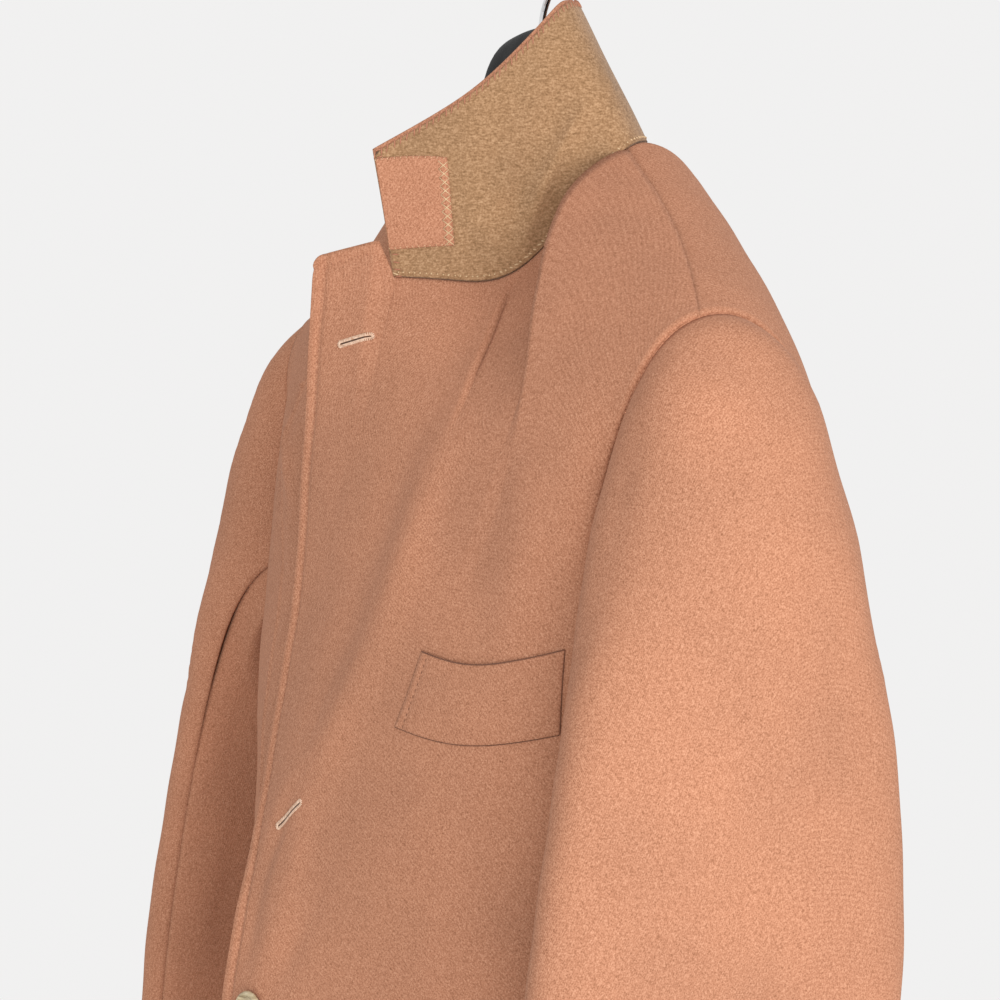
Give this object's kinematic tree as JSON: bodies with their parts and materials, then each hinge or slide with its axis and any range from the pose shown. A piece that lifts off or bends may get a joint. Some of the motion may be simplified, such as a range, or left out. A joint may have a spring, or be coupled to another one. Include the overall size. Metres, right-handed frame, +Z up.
{
  "type": "blazer on hanger",
  "caption": "Soft single-breasted blazer in rust wool on a black hanger, its left collar and lapel turned up to show the felt.",
  "frame": {"origin": "inside top of the hanger's hook, where a rod carries it", "axes": "+Z up along the hook's stem, -Y the garment's front, +X the wearer's left"},
  "size_m": [0.5342, 0.2357, 0.8788],
  "materials": {
    "rust_cloth": "matte",
    "collar_felt": "matte",
    "button_horn": "satin",
    "black_plastic": "satin",
    "hook_chrome": "polished"
  },
  "bodies": {
    "root": {"front_left": "rust_cloth", "front_right": "rust_cloth", "side_left": "rust_cloth", "side_right": "rust_cloth", "back_left": "rust_cloth", "back_right": "rust_cloth", "sleeve_top_left": "rust_cloth", "sleeve_top_right": "rust_cloth", "sleeve_under_left": "rust_cloth", "sleeve_under_right": "rust_cloth", "upper_collar": "rust_cloth", "collar_tab": "rust_cloth", "welt_chest": "rust_cloth", "under_collar": "collar_felt", "button_top": "button_horn", "button_middle": "button_horn", "button_bottom": "button_horn", "hanger_body": "black_plastic", "hanger_hook": "hook_chrome"}
  },
  "joints": []
}
